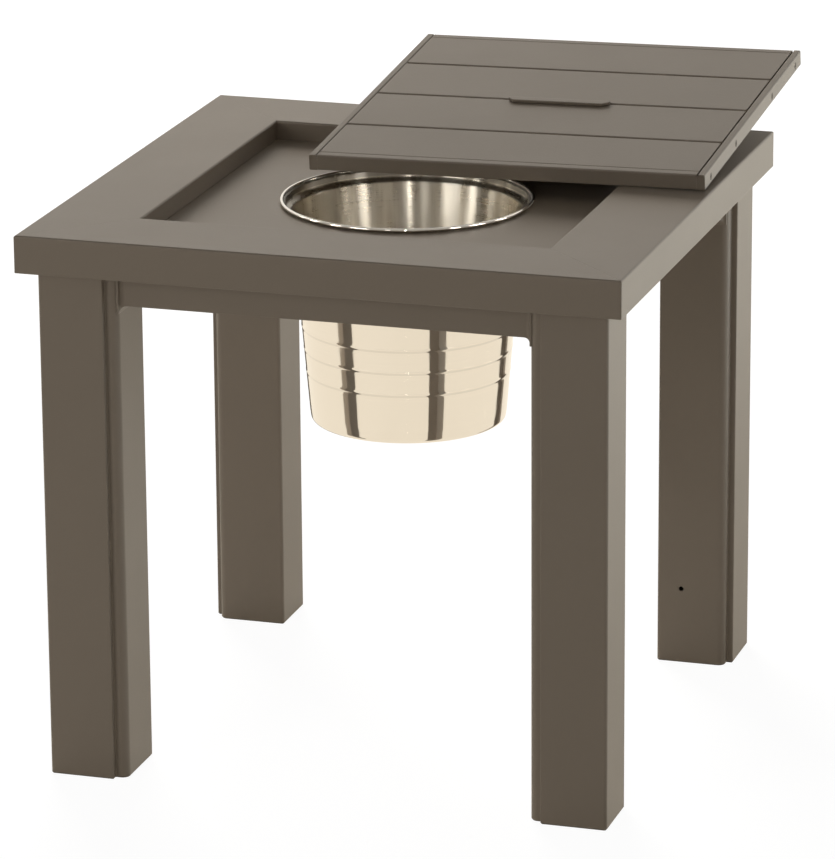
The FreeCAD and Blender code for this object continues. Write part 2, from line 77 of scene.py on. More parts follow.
class Wire:
    """A shader value that takes part in Python arithmetic: each operation adds a Math node."""

    def __init__(self, graph: "Graph", socket: bpy.types.NodeSocket) -> None:
        """Wraps an output socket of a graph."""
        self.graph = graph
        self.socket = socket

    def _math(self, operation: str, *values: "Value") -> "Wire":
        """Adds a Math node.

        Args:
            operation: The Math node's operation.
            values: Its inputs in order.

        Returns:
            The result.
        """
        return self.graph.node("ShaderNodeMath", {"operation": operation}, dict(enumerate(values)))

    def __add__(self, other: "Value") -> "Wire":
        """Sum."""
        return self._math("ADD", self, other)

    __radd__ = __add__

    def __mul__(self, other: "Value") -> "Wire":
        """Product."""
        return self._math("MULTIPLY", self, other)

    __rmul__ = __mul__

    def __sub__(self, other: "Value") -> "Wire":
        """Difference."""
        return self._math("SUBTRACT", self, other)

    def __rsub__(self, other: "Value") -> "Wire":
        """Difference from a number."""
        return self._math("SUBTRACT", other, self)

    def highest(self, other: "Value") -> "Wire":
        """The larger of two values."""
        return self._math("MAXIMUM", self, other)

    def stretched(self, low: float, high: float) -> "Wire":
        """Smooth step from 0 at low to 1 at high.

        Args:
            low: The value that becomes 0.
            high: The value that becomes 1.

        Returns:
            The stepped value.
        """
        inputs = {"Value": self, "From Min": low, "From Max": high}
        return self.graph.node("ShaderNodeMapRange", {"interpolation_type": "SMOOTHSTEP"}, inputs)


Value = Union[Wire, float, Sequence[float]]


class Graph:
    """A node tree that is filled from Python expressions."""

    def __init__(self, tree: bpy.types.NodeTree) -> None:
        """Starts from an empty tree."""
        self.tree = tree
        tree.nodes.clear()

    def node(self, kind: str, settings: Mapping[str, Any] = MappingProxyType({}),
             inputs: Mapping[Any, Any] = MappingProxyType({}), output: Union[int, str] = 0) -> Wire:
        """Adds a node and gives one of its outputs.

        Args:
            kind: The node's type.
            settings: Attributes of the node.
            inputs: Values or wires by socket index, name or identifier.
            output: The output to return, by index, name or identifier.

        Returns:
            That output.
        """
        return Wire(self, self._find(self._add(kind, settings, inputs).outputs, output))

    def end(self, kind: str, surface: Wire) -> None:
        """Ends the tree with an output node."""
        self._add(kind, {}, {"Surface": surface})

    def _add(self, kind: str, settings: Mapping[str, Any], inputs: Mapping[Any, Any]) -> bpy.types.Node:
        """Adds any node: its settings first, then the values or links of its sockets.

        Args:
            kind: The node's type.
            settings: Attributes of the node.
            inputs: Values or wires by socket index, name or identifier.

        Returns:
            The node.
        """
        made = self.tree.nodes.new(kind)
        for key, value in settings.items():
            setattr(made, key, value)
        for key, value in inputs.items():
            socket = self._find(made.inputs, key)
            if isinstance(value, Wire):
                self.tree.links.new(value.socket, socket)
            else:
                socket.default_value = value
        return made

    @staticmethod
    def _find(sockets: Any, key: Union[int, str]) -> bpy.types.NodeSocket:
        """Finds a socket.

        Args:
            sockets: A node's inputs or outputs.
            key: An index, identifier or name.

        Returns:
            The first socket that fits.
        """
        if isinstance(key, int):
            return sockets[key]
        return next(s for s in sockets if key in (s.identifier, s.name))

    def place(self) -> Wire:
        """Object coordinates, which are the frame's metres."""
        return self.node("ShaderNodeTexCoord", output="Object")

    def noise(self, vector: Wire, scale: float, detail: float = 3.0, roughness: float = 0.5) -> Wire:
        """Fractal noise.

        Args:
            vector: Where it is read.
            scale: Cells in one unit of the vector.
            detail: Octaves.
            roughness: Share of the finer octaves.

        Returns:
            Values round one half.
        """
        inputs = {"Vector": vector, "Scale": scale, "Detail": detail, "Roughness": roughness}
        return self.node("ShaderNodeTexNoise", {"noise_dimensions": "3D"}, inputs)

    def stretched_place(self, vector: Wire, centre: Sequence[float], scale: Sequence[float]) -> Wire:
        """Coordinates measured from a centre and stretched along each axis.

        Args:
            vector: The coordinates.
            centre: The point that becomes 0.
            scale: Factors along X, Y and Z.

        Returns:
            The new coordinates.
        """
        shift = [-c * s for c, s in zip(centre, scale)]
        return self.node("ShaderNodeMapping", {"vector_type": "POINT"},
                         {"Vector": vector, "Location": shift, "Scale": scale})

    def blend(self, factor: Wire, first: Union[Wire, Colour], second: Union[Wire, Colour]) -> Wire:
        """Mixes two colours.

        Args:
            factor: 0 gives the first, 1 the second.
            first: A colour or a wire.
            second: A colour or a wire.

        Returns:
            The mixed colour.
        """
        def full(colour: Union[Wire, Colour]) -> Any:
            """A colour with its alpha."""
            return colour if isinstance(colour, Wire) else (*colour, 1.0)

        inputs = {"Factor_Float": factor, "A_Color": full(first), "B_Color": full(second)}
        return self.node("ShaderNodeMix", {"data_type": "RGBA"}, inputs, "Result_Color")

    def bump(self, height: Wire, distance: float, normal: Union[Wire, None] = None) -> Wire:
        """Raises a surface by a height.

        Args:
            height: Values from 0 to 1.
            distance: Metres that a height of 1 stands up.
            normal: The surface that it is laid on.

        Returns:
            The new normal.
        """
        inputs = {"Height": height, "Distance": distance, "Strength": 1.0}
        if normal is not None:
            inputs["Normal"] = normal
        return self.node("ShaderNodeBump", {}, inputs)

    def edge(self, radius: float) -> tuple[Wire, Wire]:
        """Rounds the shading of sharp edges.

        Args:
            radius: How far from an edge the rounding reaches.

        Returns:
            The rounded normal, and how much it turns from the true one.
        """
        rounded = self.node("ShaderNodeBevel", {"samples": 6}, {"Radius": radius})
        true = self.node("ShaderNodeNewGeometry", output="Normal")
        turn = self.node("ShaderNodeVectorMath", {"operation": "DOT_PRODUCT"}, {0: rounded, 1: true}, "Value")
        return rounded, 1 - turn

    def surface(self, **sockets: Value) -> None:
        """Ends the tree with a Principled shader.

        Args:
            sockets: Values or wires by socket name, with spaces written as underscores.
        """
        inputs = {key.replace("_", " "): value for key, value in sockets.items()}
        shader = self.node("ShaderNodeBsdfPrincipled", {}, inputs)
        self.end("ShaderNodeOutputMaterial", shader)


def new_graph(name: str) -> tuple[bpy.types.Material, Graph]:
    """Starts a material.

    Args:
        name: The material's name.

    Returns:
        The material and its empty graph.
    """
    material = bpy.data.materials.new(name)
    material.use_nodes = True
    return material, Graph(material.node_tree)


@dataclass(frozen=True)
class PowderCoat:
    """Satin powder coat on aluminium: faint clouding, fine grain, orange peel, thinner and paler on edges;
    the paler edges are partly worn coat and partly a painted highlight.
    """

    name: str
    light: Colour
    dark: Colour
    edge: Colour
    roughness: float = 0.42
    gloss: float = 0.4
    cloud_scale: float = 9.0
    grain_scale: float = 1400.0
    peel_scale: float = 420.0
    wear_and_painted_highlight_scale: float = 60.0
    wear_and_painted_highlight_patches: Point = (0.35, 0.7)
    wear_and_painted_highlight_gain: float = 2.2
    wear_and_painted_highlight_turn: Point = (0.05, 0.9)
    grain_height: float = 0.00002
    peel_height: float = 0.00006
    edge_radius: float = 0.0012

    def material(self) -> bpy.types.Material:
        """Makes the coat's shader.

        Returns:
            The new material.
        """
        material, graph = new_graph(self.name)
        place = graph.place()
        cloud = graph.noise(place, self.cloud_scale, detail=4.0)
        grain = graph.noise(place, self.grain_scale, detail=2.0)
        peel = graph.noise(place, self.peel_scale, detail=1.0)
        rounded, turn = graph.edge(self.edge_radius)
        # Paler colour along the rounded edges, in patches: partly worn coat, partly a painted highlight.
        patches = graph.noise(place, self.wear_and_painted_highlight_scale).stretched(*self.wear_and_painted_highlight_patches)
        marks_and_painted_light = (turn * self.wear_and_painted_highlight_gain).stretched(*self.wear_and_painted_highlight_turn) * patches
        tone = graph.blend(cloud * 0.7 + grain * 0.3, self.dark, self.light)
        colour = graph.blend(marks_and_painted_light, tone, self.edge)
        sheen = self.roughness - 0.06 + 0.14 * grain - 0.04 * cloud - 0.06 * marks_and_painted_light
        normal = graph.bump(grain, self.grain_height, graph.bump(peel, self.peel_height, rounded))
        graph.surface(Base_Color=colour, Roughness=sheen, Normal=normal, Specular_IOR_Level=self.gloss)
        return material


@dataclass(frozen=True)
class SpunSteel:
    """Stainless sheet, polished outside and left from the spinning inside: rings, waves and drawn streaks.
    The streaks' light and dark in the inside's colour are painted reflections, and a face layer paints shade
    on the collar and below each bead.
    """

    name: str
    bright: Colour
    dull: Colour
    # inner and the dark streak colour below are the two ends of the inside's painted reflection streaks.
    inner: Colour
    inner_painted_dark_streak: Colour
    axis: tuple[float, float, float]
    roughness: float = 0.07
    inner_roughness: float = 0.24
    stretch: float = 1.0
    ring_scale: float = 1500.0
    turn_scale: float = 5.0
    wave_scale: float = 24.0
    streak_scale: float = 75.0
    streak_rise: float = 3.0
    wipe_scale: float = 16.0
    ring_height: float = 0.0000015
    wave_height: float = 0.0003
    streak_height: float = 0.00013
    inside_layer: str = "inside"
    # The face layer named "dull" paints shade: the collar's band and a line below each bead are blended
    # toward this dark grey.
    painted_shade_layer: str = "dull"
    painted_shade_colour: Colour = (0.4, 0.38, 0.35)

    def material(self) -> bpy.types.Material:
        """Makes the steel's shader.

        Returns:
            The new material.
        """
        material, graph = new_graph(self.name)
        place = graph.place()
        turned = graph.stretched_place(place, self.axis, (self.turn_scale, self.turn_scale, self.ring_scale))
        upright = (self.streak_scale, self.streak_scale, self.streak_rise)
        drawn = graph.stretched_place(place, self.axis, upright)
        rings = graph.noise(turned, 1.0, detail=2.0)
        streaks = graph.noise(drawn, 1.0, detail=3.0)
        wiped = graph.noise(place, self.wipe_scale, detail=5.0, roughness=0.6)
        waves = graph.noise(place, self.wave_scale, detail=1.0)
        inside = graph.node("ShaderNodeAttribute", {"attribute_name": self.inside_layer}, output="Fac")
        outer = graph.blend(0.55 * rings + 0.45 * wiped, self.dull, self.bright)
        # The inside's light and dark vertical streaks in colour are painted reflections; the same streaks as
        # bump and roughness are the surface's own.
        marks_and_painted_light = graph.blend(streaks.stretched(0.38, 0.62), self.inner_painted_dark_streak, self.inner)
        # Painted shade: the "dull" layer blends the collar's band and the lines below the beads toward a dark
        # grey.
        dull = graph.node("ShaderNodeAttribute", {"attribute_name": self.painted_shade_layer}, output="Fac")
        colour = graph.blend(dull, graph.blend(inside, outer, marks_and_painted_light), self.painted_shade_colour)
        sheen = self.roughness - 0.03 + 0.07 * rings + 0.08 * wiped.stretched(0.5, 0.75)
        sheen = sheen + inside * (self.inner_roughness - self.roughness + 0.08 * streaks)
        normal = graph.bump(rings, self.ring_height, graph.bump(waves, self.wave_height))
        normal = graph.bump(streaks * inside, self.streak_height, normal)
        graph.surface(Base_Color=colour, Roughness=sheen, Normal=normal, Metallic=1.0,
                      Anisotropic=self.stretch, Anisotropic_Rotation=0.25)
        return material


@dataclass(frozen=True)
class MouldedPlastic:
    """Grained plastic of the foot glides, scuffed near the floor."""

    name: str
    colour: Colour
    scuffed: Colour
    scuff_height: float = 0.004
    grain_scale: float = 1800.0
    grain_height: float = 0.00003
    scratch_scale: tuple[float, float, float] = (90.0, 700.0, 300.0)

    def material(self) -> bpy.types.Material:
        """Makes the plastic's shader.

        Returns:
            The new material.
        """
        material, graph = new_graph(self.name)
        place = graph.place()
        grain = graph.noise(place, self.grain_scale, detail=2.0)
        scratches = graph.noise(graph.stretched_place(place, (0, 0, 0), self.scratch_scale), 1.0)
        height = graph.node("ShaderNodeSeparateXYZ", {}, {"Vector": place}, "Z")
        low = 1 - height.stretched(0.0, self.scuff_height)
        scuffs = low * scratches.stretched(0.5, 0.7)
        grained = graph.blend(grain, self.colour, tuple(1.2 * c for c in self.colour))
        colour = graph.blend(scuffs, grained, self.scuffed)
        graph.surface(Base_Color=colour, Roughness=0.5 + 0.2 * grain,
                      Normal=graph.bump(grain, self.grain_height))
        return material


@dataclass(frozen=True)
class PlainMetal:
    """Small turned metal pieces: brushed grain and a little staining."""

    name: str
    clean: Colour
    stained: Colour
    roughness: float = 0.35
    grain_scale: float = 2600.0
    grain_height: float = 0.00001
    stain_scale: float = 500.0

    def material(self) -> bpy.types.Material:
        """Makes the metal's shader.

        Returns:
            The new material.
        """
        material, graph = new_graph(self.name)
        place = graph.place()
        grain = graph.noise(place, self.grain_scale, detail=2.0)
        stain = graph.noise(place, self.stain_scale, detail=3.0).stretched(0.4, 0.65)
        colour = graph.blend(stain, self.clean, self.stained)
        graph.surface(Base_Color=colour, Roughness=self.roughness + 0.2 * grain + 0.1 * stain,
                      Metallic=0.9 - 0.3 * stain, Normal=graph.bump(grain, self.grain_height))
        return material


def dress(nodes: Iterable[str], material: bpy.types.Material) -> None:
    """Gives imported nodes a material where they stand.

    Args:
        nodes: The nodes' names.
        material: What they are finished in.
    """
    for name in nodes:
        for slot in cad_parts[name].material_slots:
            slot.material = material
        LOG.info("dressed %s in %s", name, material.name)


def named(start: str) -> list[str]:
    """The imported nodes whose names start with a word."""
    return sorted(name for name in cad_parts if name.startswith(start))


def middle(node: str) -> Vector:
    """Middle of a node's box."""
    low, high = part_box(node)
    return (low + high) / 2


def new_piece(shape: bmesh.types.BMesh, name: str, body: Body, material: bpy.types.Material,
              stands_for: Sequence[str] = ()) -> bpy.types.Object:
    """Turns a finished shape into a piece of the object.

    Args:
        shape: The shape, at its place in the frame; it is freed.
        name: The piece's name.
        body: The body that it rides on.
        material: Its finish.
        stands_for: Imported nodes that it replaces.

    Returns:
        The piece.
    """
    mesh = bpy.data.meshes.new(name)
    shape.to_mesh(mesh)
    shape.free()
    mesh.materials.append(material)
    piece = bpy.data.objects.new(name, mesh)
    bpy.context.scene.collection.objects.link(piece)
    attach(piece, body.value)
    if stands_for:
        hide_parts(*stands_for)
    LOG.info("made %s: %d faces", name, len(mesh.polygons))
    return piece


def arc(centre: Point, radius: float, start: float, end: float, steps: int) -> list[Point]:
    """Points along an arc in a section plane.

    Args:
        centre: The arc's centre.
        radius: Its radius.
        start: First angle in degrees.
        end: Last angle in degrees.
        steps: Number of chords.

    Returns:
        The points, both ends included.
    """
    angles = [math.radians(start + (end - start) * step / steps) for step in range(steps + 1)]
    return [(centre[0] + radius * math.cos(a), centre[1] + radius * math.sin(a)) for a in angles]


@dataclass
class Table:
    """The table: rails, panel, ledges, legs and aprons in one coat, and the glides under the legs."""

    coat: PowderCoat
    glide: MouldedPlastic

    def build(self) -> None:
        """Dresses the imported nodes."""
        coated = named("top_rail") + named("panel_ledge") + named("leg") + named("apron") + ["recess_panel"]
        dress(coated, self.coat.material())
        dress(named("foot_glide"), self.glide.material())


@dataclass
class Bucket:
    """The ice bucket, turned as one thin sheet with a rolled rim, a shoulder and three rolled beads."""

    steel: SpunSteel
    node: str = "ice_bucket"
    sheet: float = 0.0009
    roll: float = 0.0024
    rim_drop: float = 0.0012
    collar_depth: float = 0.0089
    collar_inset: float = 0.0014
    shoulder_width: float = 0.0063
    shoulder_drop: float = 0.0035
    shoulder_bend: float = 0.003
    base_radius: float = 0.0985
    base_corner: float = 0.004
    dish_radius: float = 0.078
    dish_depth: float = 0.003
    dish_bend: float = 0.004
    dish_run: float = 0.003
    floor_slope: float = 0.7
    bead_first: float = 0.117
    bead_spacing: float = 0.0236
    bead_count: int = 3
    bead_height: float = 0.0045
    bead_depth: float = 0.0003
    turns: int = 160
    wall_steps: int = 40
    bead_steps: int = 10
    flare_steps: int = 6
    # Shares of painted shade on the collar's band and on the line below each bead.
    collar_painted_shade: float = 0.8
    bead_line_painted_shade: float = 0.2

    def beads(self, top: float) -> list[float]:
        """Heights of the beads under a rim at the given height."""
        first = top - self.roll - self.collar_depth - self.shoulder_drop - self.bead_first
        return [first - index * self.bead_spacing for index in range(self.bead_count)]

    def build(self) -> None:
        """Turns the bucket's section about its axis and gives the sheet its thickness."""
        shape = bmesh.new()
        low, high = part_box(self.node)
        axis = middle(self.node)
        top = high.z - self.rim_drop
        section = self.section((high.x - low.x) / 2, low.z, top)
        points = [shape.verts.new((axis.x + radius, axis.y, height)) for radius, height in section]
        edges = [shape.edges.new(pair) for pair in zip(points, points[1:])]
        bmesh.ops.spin(shape, geom=points + edges, cent=axis, axis=(0, 0, 1), angle=math.tau,
                       steps=self.turns, use_merge=True)
        bmesh.ops.remove_doubles(shape, verts=shape.verts, dist=MERGE_DISTANCE)
        bmesh.ops.recalc_face_normals(shape, faces=shape.faces)
        bmesh.ops.solidify(shape, geom=shape.faces[:], thickness=self.sheet)
        self.mark(shape, axis, top)
        new_piece(shape, "ice_bucket_turned", Body.BUCKET, self.steel.material(), [self.node])

    def mark(self, shape: bmesh.types.BMesh, axis: Vector, top: float) -> None:
        """Smooths the sheet and writes where it looks inward and where shade is painted: a band on the collar
        and a line below each bead.

        Args:
            shape: The finished sheet.
            axis: A point on its axis.
            top: Height of the rim's top.
        """
        inside = shape.faces.layers.float.new(self.steel.inside_layer)
        dull = shape.faces.layers.float.new(self.steel.painted_shade_layer)
        # The collar's band and a line below each bead get painted shade.
        collar = (top - self.roll - self.collar_depth + self.shoulder_bend, top - self.roll)
        lines = [height - self.bead_height / 4 for height in self.beads(top)]
        for face in shape.faces:
            face.smooth = True
            centre = face.calc_center_median()
            out = (centre - axis) * Vector((1.0, 1.0, 0.0))
            looks_in = face.normal.dot(out) < 0.0 or face.normal.z > self.floor_slope
            face[inside] = 1.0 if looks_in and centre.z < collar[1] else 0.0
            in_line = any(abs(centre.z - line) < self.bead_height / 4 for line in lines)
            in_collar = looks_in and collar[0] < centre.z < collar[1]
            face[dull] = self.collar_painted_shade if in_collar else self.bead_line_painted_shade if in_line else 0.0

    def section(self, outer_radius: float, bottom: float, top: float) -> list[Point]:
        """The sheet's line from the middle of the base to the end of the rolled rim.

        Args:
            outer_radius: Radius over the rolled rim.
            bottom: Height of the base.
            top: Height of the rim's top.

        Returns:
            Points of radius and height.
        """
        bend = self.shoulder_bend
        corner = self.base_corner
        dish = self.dish_bend
        curl = self.roll - self.sheet / 2
        rim = (outer_radius - self.roll, top - self.roll)
        collar = rim[0] - curl - self.collar_inset
        shoulder = rim[1] - self.collar_depth
        body = collar - self.shoulder_width
        body_top = shoulder - self.shoulder_drop
        slope = math.degrees(math.atan2(self.shoulder_drop, self.shoulder_width))
        foot = bend * math.tan(math.radians((90 - slope) / 2))
        base = bottom + self.sheet / 2
        line = [(0.0, base + self.dish_depth)]
        line += arc((self.dish_radius - dish, base + self.dish_depth - dish), dish, 90, 50, 4)
        line += arc((self.dish_radius + self.dish_run, base + dish), dish, 230, 270, 4)
        line += arc((self.base_radius - corner, base + corner), corner, 270, 360, 10)
        line += self.wall(base + corner, body_top - foot, body, base, body_top, self.beads(top))
        line += arc((body + bend, body_top - foot), bend, 180, 90 + slope, 7)
        line += arc((collar - bend, shoulder + foot), bend, 270 + slope, 360, 7)
        line += self.flare(collar, rim[1])
        line += arc(rim, curl, 180, -110, 22)
        return line

    def flare(self, collar: float, end: float) -> list[Point]:
        """The collar's S-shaped way out to the roll.

        Args:
            collar: The collar's radius.
            end: Height where the roll starts.

        Returns:
            Points of radius and height.
        """
        shares = [step / self.flare_steps for step in range(self.flare_steps)]
        return [(collar + self.collar_inset * (0.5 - 0.5 * math.cos(math.pi * share)),
                 end - self.roll * (1 - share)) for share in shares]

    def wall(self, start: float, end: float, top_radius: float, base: float, top: float,
             beads: Sequence[float]) -> list[Point]:
        """The tapered wall with its beads.

        Args:
            start: Height where the wall leaves the base corner.
            end: Height where the shoulder's bend starts.
            top_radius: Radius at the shoulder.
            base: Height of the base.
            top: Height of the shoulder's foot.
            beads: Heights of the beads.

        Returns:
            Points of radius and height.
        """
        half = self.bead_height / 2
        plain = [start + (end - start) * step / self.wall_steps for step in range(1, self.wall_steps)]
        heights = [height for height in plain if all(abs(height - bead) > half for bead in beads)]
        for bead in beads:
            heights += [bead + half * (2 * step / self.bead_steps - 1) for step in range(self.bead_steps + 1)]
        points = []
        for height in sorted(heights):
            radius = self.base_radius + (top_radius - self.base_radius) * (height - base) / (top - base)
            for bead in beads:
                reach = min(abs(height - bead) / half, 1.0)
                radius += self.bead_depth * (0.5 + 0.5 * math.cos(math.pi * reach))
            points.append((radius, height))
        return points


@dataclass
class Lid:
    """The loose lid: coated slats, end bars and pull, and the screws in its end bars."""

    coat: PowderCoat
    screw: PlainMetal
    rivet: PlainMetal
    head_radius: float = 0.0037
    head_height: float = 0.0022
    shank_radius: float = 0.0018
    shank_length: float = 0.022
    recess_arm: float = 0.0021
    recess_width: float = 0.0005
    recess_depth: float = 0.0013
    recess_taper: float = 0.55
    tip_taper: float = 0.2
    head_sides: int = 24

    def build(self) -> None:
        """Dresses the slats, bars, pull and rivets, and makes the screws."""
        dress(named("lid_plank") + ["lid_trim_left", "lid_trim_right", "lid_pull"], self.coat.material())
        dress(["lid_pull_rivets"], self.rivet.material())
        self.build_screws()

    def across(self) -> Vector:
        """The lid's own left-to-right direction, from its two end bars."""
        return (middle("lid_trim_right") - middle("lid_trim_left")).normalized()

    def screw_heads(self) -> list[tuple[Vector, Vector]]:
        """Where the screws are.

        Returns:
            The middle of each head's face and the way that it looks.
        """
        across = self.across()
        shape = bmesh.new()
        shape.from_mesh(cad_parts["lid_trim_screws"].data)
        bmesh.ops.remove_doubles(shape, verts=shape.verts, dist=MERGE_DISTANCE)
        lid_middle = (middle("lid_trim_right") + middle("lid_trim_left")) / 2
        heads = []
        left = set(shape.verts)
        while left:
            island = self.linked(left.pop())
            left -= island
            side = 1 if (next(iter(island)).co - lid_middle).dot(across) > 0 else -1
            outward = across * side
            reach = max(vert.co.dot(outward) for vert in island)
            face = [vert.co for vert in island if vert.co.dot(outward) > reach - FLAT_WITHIN]
            heads.append((sum(face, Vector()) / len(face), outward))
        shape.free()
        return heads

    @staticmethod
    def linked(start: bmesh.types.BMVert) -> set[bmesh.types.BMVert]:
        """Collects an island.

        Args:
            start: One of its vertices.

        Returns:
            All the vertices joined to it by edges, itself included.
        """
        found, waiting = {start}, [start]
        while waiting:
            vert = waiting.pop()
            fresh = {edge.other_vert(vert) for edge in vert.link_edges} - found
            found |= fresh
            waiting += fresh
        return found

    def build_screws(self) -> None:
        """Makes all the screws as one group."""
        group = bmesh.new()
        for place, outward in self.screw_heads():
            before = set(group.verts)
            self.add_screw(group)
            turn = outward.to_track_quat("Z", "Y").to_matrix().to_4x4()
            fresh = [vert for vert in group.verts if vert not in before]
            bmesh.ops.transform(group, matrix=Matrix.Translation(place) @ turn, verts=fresh)
        new_piece(group, "lid_trim_screw_set", Body.LID, self.screw.material(),
                  ["lid_trim_screws"])

    def add_screw(self, group: bmesh.types.BMesh) -> None:
        """Adds one countersunk screw with a cross recess, its head's face at the origin and looking along +Z.

        Args:
            group: The shape that it is added to.
        """
        arm, half = self.recess_arm, self.recess_width
        quarter = [(arm, -half), (arm, half), (half, half)]
        outline = [Matrix.Rotation(math.pi / 2 * turn, 3, "Z") @ Vector((x, y, 0))
                   for turn in range(4) for x, y in quarter]
        corners = [group.verts.new(point) for point in outline]
        cross = [group.edges.new(pair) for pair in zip(corners, corners[1:] + corners[:1])]
        rim = bmesh.ops.create_circle(group, segments=self.head_sides, radius=self.head_radius)["verts"]
        ring = list({edge for vert in rim for edge in vert.link_edges})
        bmesh.ops.bridge_loops(group, edges=cross + ring)
        floor = self.sunk(group, cross, -self.recess_depth, self.recess_taper)
        bmesh.ops.contextual_create(group, geom=floor)
        cone = self.sunk(group, ring, -self.head_height, self.shank_radius / self.head_radius)
        tip = self.sunk(group, cone, -self.shank_length, 1.0)
        end = self.sunk(group, tip, -self.shank_radius, self.tip_taper)
        bmesh.ops.contextual_create(group, geom=end)
        bmesh.ops.recalc_face_normals(group, faces=group.faces[:])

    @staticmethod
    def sunk(group: bmesh.types.BMesh, loop: list[bmesh.types.BMEdge], depth: float,
             share: float) -> list[bmesh.types.BMEdge]:
        """Extrudes a loop of edges down and draws it in.

        Args:
            group: The shape.
            loop: The edges.
            depth: How far along Z.
            share: What is left of the loop's width.

        Returns:
            The new loop.
        """
        made = bmesh.ops.extrude_edge_only(group, edges=loop)["geom"]
        verts = [item for item in made if isinstance(item, bmesh.types.BMVert)]
        bmesh.ops.scale(group, vec=(share, share, 1.0), verts=verts)
        bmesh.ops.translate(group, vec=(0, 0, depth), verts=verts)
        return [item for item in made if isinstance(item, bmesh.types.BMEdge)]


@dataclass(frozen=True)
class Lamp:
    """A soft rectangular lamp that is kept out of the picture and out of reflections.

    The spread is the full angle of its beam in degrees.
    """

    name: str
    place: tuple[float, float, float]
    target: tuple[float, float, float]
    width: float
    height: float
    power: float
    colour: Colour = (1.0, 1.0, 1.0)
    spread: float = 180.0

    def build(self) -> None:
        """Hangs the lamp and turns it to its target."""
        light = bpy.data.lights.new(self.name, "AREA")
        light.shape = "RECTANGLE"
        light.size, light.size_y = self.width, self.height
        light.energy = self.power
        light.color = self.colour
        light.spread = math.radians(self.spread)
        lamp = bpy.data.objects.new(self.name, light)
        bpy.context.scene.collection.objects.link(lamp)
        lamp.visible_camera = lamp.visible_glossy = False
        lamp.location = self.place
        lamp.rotation_euler = (Vector(self.place) - Vector(self.target)).to_track_quat("Z", "Y").to_euler()


@dataclass(frozen=True)
class Window:
    """A bright upright bay of the room round the camera, which shows only in gloss.

    The turn and the width are in degrees; the turn is from the camera's side, to the right when positive.
    The soft edge gives the shares of the width, either side, where the light ends and where it is full.
    """

    turn: float
    width: float
    level: float
    soft_edge: Point = (0.6, 0.4)

    def band(self, way: Wire, camera_side: Vector) -> Wire:
        """How bright the window is.

        Args:
            way: The level direction that is looked at.
            camera_side: The level direction to the camera.

        Returns:
            The window's level inside its width and 0 outside.
        """
        middle_way = Matrix.Rotation(math.radians(self.turn), 3, "Z") @ camera_side
        inputs = {0: way, 1: tuple(middle_way)}
        near = way.graph.node("ShaderNodeVectorMath", {"operation": "DOT_PRODUCT"}, inputs, "Value")
        outer, inner = (math.cos(math.radians(share * self.width)) for share in self.soft_edge)
        return self.level * near.stretched(outer, inner)


@dataclass(frozen=True)
class PhotoCamera:
    """The camera that took the photograph, found from the table's edges."""

    image_width: int = 835
    image_height: int = 859
    focal_pixels: float = 5359.88
    yaw: float = -0.300468
    pitch: float = 0.299787
    roll: float = -0.006608
    from_table: tuple[float, float, float] = (1.55695, -4.98845, 1.89847)
    shift_pixels: Point = (2.02, 15.07)
    sensor: float = 36.0
    farthest: float = 100.0

    def build(self, table_middle: Vector) -> None:
        """Sets up the camera.

        Args:
            table_middle: The point on the floor that its place is measured from.
        """
        data = bpy.data.cameras.new("photo_camera")
        longest = max(self.image_width, self.image_height)
        data.sensor_width = self.sensor
        data.lens = self.focal_pixels * self.sensor / longest
        data.shift_x = -self.shift_pixels[0] / longest
        data.shift_y = self.shift_pixels[1] / longest
        data.clip_end = self.farthest
        camera = bpy.data.objects.new("photo_camera", data)
        bpy.context.scene.collection.objects.link(camera)
        camera.matrix_world = Matrix.Translation(table_middle + Vector(self.from_table)) @ self.turn()
        bpy.context.scene.camera = camera

    def turn(self) -> Matrix:
        """Works out how the camera is turned.

        Returns:
            Its axes as a matrix.
        """
        ahead = Vector((math.sin(self.yaw) * math.cos(self.pitch), math.cos(self.yaw) * math.cos(self.pitch),
                        -math.sin(self.pitch)))
        right = Vector((math.cos(self.yaw), -math.sin(self.yaw), 0.0))
        axes = Matrix((right, right.cross(ahead), -ahead)).transposed().to_4x4()
        return axes @ Matrix.Rotation(self.roll, 4, "Z")


